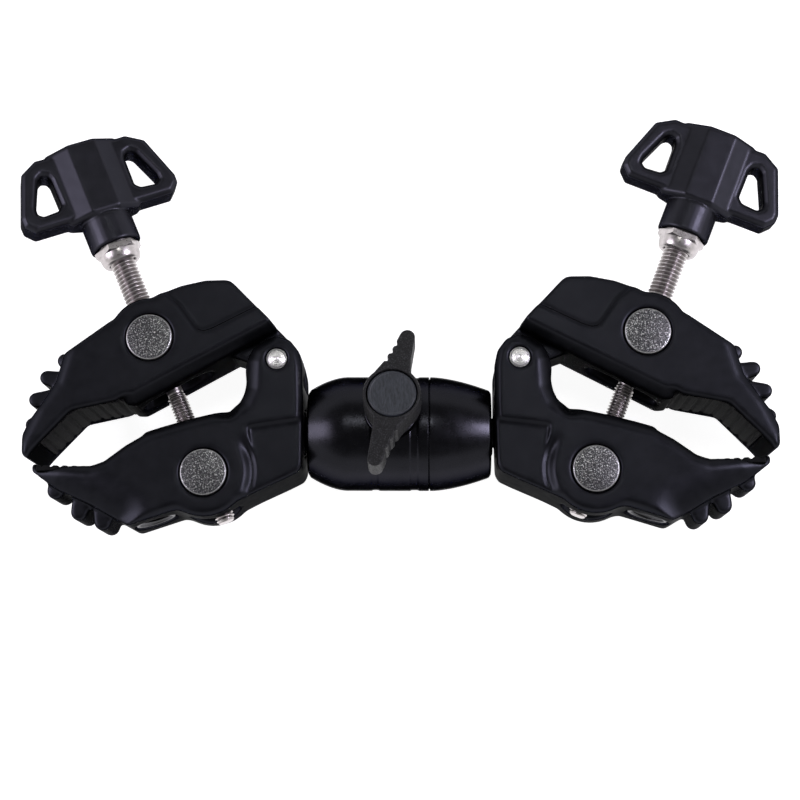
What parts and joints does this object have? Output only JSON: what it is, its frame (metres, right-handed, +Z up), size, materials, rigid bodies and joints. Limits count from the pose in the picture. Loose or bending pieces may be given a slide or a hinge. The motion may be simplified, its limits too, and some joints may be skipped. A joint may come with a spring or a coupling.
{
  "type": "double super clamp",
  "caption": "Double super clamp: crab-shaped jaws with wing-knob screws, each on a ball, joined by a short barrel with one locking lever, for gripping two rods",
  "frame": {"origin": "middle of the object's bounding box, at the height of its underside", "axes": "+X along the barrel from the left clamp to the right one, +Y towards the wing knobs, +Z up from the table it lies on"},
  "size_m": [0.2386, 0.1308, 0.0532],
  "materials": {
    "barrel_paint": "glossy black anodise",
    "jaw_paint": "satin black powder coat",
    "knob_paint": "satin black paint",
    "lever_plastic": "grained black nylon",
    "black_steel": "satin black oxide",
    "rubber": "ribbed rubber",
    "bright_steel": "bright nickel plate",
    "speckled_nickel": "tumbled nickel",
    "brass": "turned brass",
    "liner_polymer": "moulded acetal"
  },
  "bodies": {
    "root": {"barrel": "barrel_paint", "end_cap": "barrel_paint", "lock_bush": "speckled_nickel", "left_thrust_block": "brass", "right_thrust_block": "brass"},
    "lever": {"lock_lever": "lever_plastic", "lever_cap": "lever_plastic", "lock_screw": "bright_steel"},
    "left_cup": {"left_ball_cup": "liner_polymer"},
    "left_seal": {"left_neck_seal": "rubber"},
    "left_clamp": {"left_ball_stud": "black_steel", "left_lower_jaw": "jaw_paint", "left_lower_pad": "rubber", "left_hinge_pin": "bright_steel", "left_thread_insert": "bright_steel"},
    "left_upper": {"left_upper_jaw": "jaw_paint", "left_upper_pad": "rubber"},
    "left_top_pin": {"left_upper_barrel_pin": "speckled_nickel"},
    "left_low_pin": {"left_lower_barrel_pin": "speckled_nickel"},
    "left_washer": {"left_lock_washer": "bright_steel"},
    "left_knob": {"left_clamp_screw": "bright_steel", "left_hex_nut": "bright_steel", "left_wing_knob": "knob_paint"},
    "right_cup": {"right_ball_cup": "liner_polymer"},
    "right_seal": {"right_neck_seal": "rubber"},
    "right_clamp": {"right_ball_stud": "black_steel", "right_lower_jaw": "jaw_paint", "right_lower_pad": "rubber", "right_hinge_pin": "bright_steel", "right_thread_insert": "bright_steel"},
    "right_upper": {"right_upper_jaw": "jaw_paint", "right_upper_pad": "rubber"},
    "right_top_pin": {"right_upper_barrel_pin": "speckled_nickel"},
    "right_low_pin": {"right_lower_barrel_pin": "speckled_nickel"},
    "right_washer": {"right_lock_washer": "bright_steel"},
    "right_knob": {"right_clamp_screw": "bright_steel", "right_hex_nut": "bright_steel", "right_wing_knob": "knob_paint"}
  },
  "joints": [
    {"name": "lock_turn", "type": "hinge", "parent": "root", "child": "lever", "pos_m": [-0.00097, -0.03438, 0.0175], "axis": [0, 0.2079, 0.9781], "range_deg": [0, 110]},
    {"name": "left_ball_roll", "type": "hinge", "parent": "root", "child": "left_cup", "pos_m": [-0.01677, -0.03438, 0.0175], "axis": [-1, 0, 0], "continuous": true},
    {"name": "left_ball_tilt", "type": "hinge", "parent": "left_cup", "child": "left_seal", "pos_m": [-0.01677, -0.03438, 0.0175], "axis": [0, 0, -1], "range_deg": [-4.5, 4.5]},
    {"name": "left_ball_spin", "type": "hinge", "parent": "left_seal", "child": "left_clamp", "pos_m": [-0.01677, -0.03438, 0.0175], "axis": [-1, 0, 0], "continuous": true},
    {"name": "left_jaw_open", "type": "hinge", "parent": "left_clamp", "child": "left_upper", "pos_m": [-0.03597, -0.01358, 0.0175], "axis": [0, 0, -1], "range_deg": [0, 36]},
    {"name": "left_top_pin_turn", "type": "hinge", "parent": "left_upper", "child": "left_top_pin", "pos_m": [-0.07477, -0.00713, 0.0175], "axis": [0, 0, -1], "range_deg": [-18.84, 0]},
    {"name": "left_low_pin_turn", "type": "hinge", "parent": "left_clamp", "child": "left_low_pin", "pos_m": [-0.05722, -0.04843, 0.0175], "axis": [0, 0, -1], "range_deg": [0, 17.26]},
    {"name": "left_screw_travel", "type": "slide", "parent": "left_low_pin", "child": "left_washer", "axis": [-0.3911, 0.9204, 0], "range_m": [0, 0.00816]},
    {"name": "left_knob_turn", "type": "hinge", "parent": "left_washer", "child": "left_knob", "pos_m": [-0.07477, -0.00713, 0.0175], "axis": [-0.3911, 0.9204, 0], "range_deg": [0, 2931.16]},
    {"name": "right_ball_roll", "type": "hinge", "parent": "root", "child": "right_cup", "pos_m": [0.01923, -0.03438, 0.0175], "axis": [1, 0, 0], "continuous": true},
    {"name": "right_ball_tilt", "type": "hinge", "parent": "right_cup", "child": "right_seal", "pos_m": [0.01923, -0.03438, 0.0175], "axis": [0, 0, 1], "range_deg": [-6.5, 2.5]},
    {"name": "right_ball_spin", "type": "hinge", "parent": "right_seal", "child": "right_clamp", "pos_m": [0.01923, -0.03438, 0.0175], "axis": [0.9994, 0.0349, 0], "continuous": true},
    {"name": "right_jaw_open", "type": "hinge", "parent": "right_clamp", "child": "right_upper", "pos_m": [0.03769, -0.01292, 0.0175], "axis": [0, 0, 1], "range_deg": [0, 36]},
    {"name": "right_top_pin_turn", "type": "hinge", "parent": "right_upper", "child": "right_top_pin", "pos_m": [0.07624, -0.00512, 0.0175], "axis": [0, 0, 1], "range_deg": [-18.84, 0]},
    {"name": "right_low_pin_turn", "type": "hinge", "parent": "right_clamp", "child": "right_low_pin", "pos_m": [0.06014, -0.04701, 0.0175], "axis": [0, 0, 1], "range_deg": [0, 17.26]},
    {"name": "right_screw_travel", "type": "slide", "parent": "right_low_pin", "child": "right_washer", "axis": [0.3587, 0.9334, 0], "range_m": [0, 0.00816]},
    {"name": "right_knob_turn", "type": "hinge", "parent": "right_washer", "child": "right_knob", "pos_m": [0.07624, -0.00512, 0.0175], "axis": [0.3587, 0.9334, 0], "range_deg": [0, 2931.16]}
  ],
  "couplings": [
    {"joint": "left_knob_turn", "follows": "left_jaw_open", "ratio": 81.413},
    {"joint": "left_top_pin_turn", "follows": "left_jaw_open", "ratio": -0.52184},
    {"joint": "left_low_pin_turn", "follows": "left_jaw_open", "ratio": 0.47816},
    {"joint": "left_screw_travel", "follows": "left_jaw_open", "m_per_rad": 0.012959},
    {"joint": "right_knob_turn", "follows": "right_jaw_open", "ratio": 81.413},
    {"joint": "right_top_pin_turn", "follows": "right_jaw_open", "ratio": -0.52184},
    {"joint": "right_low_pin_turn", "follows": "right_jaw_open", "ratio": 0.47816},
    {"joint": "right_screw_travel", "follows": "right_jaw_open", "m_per_rad": 0.012959}
  ]
}
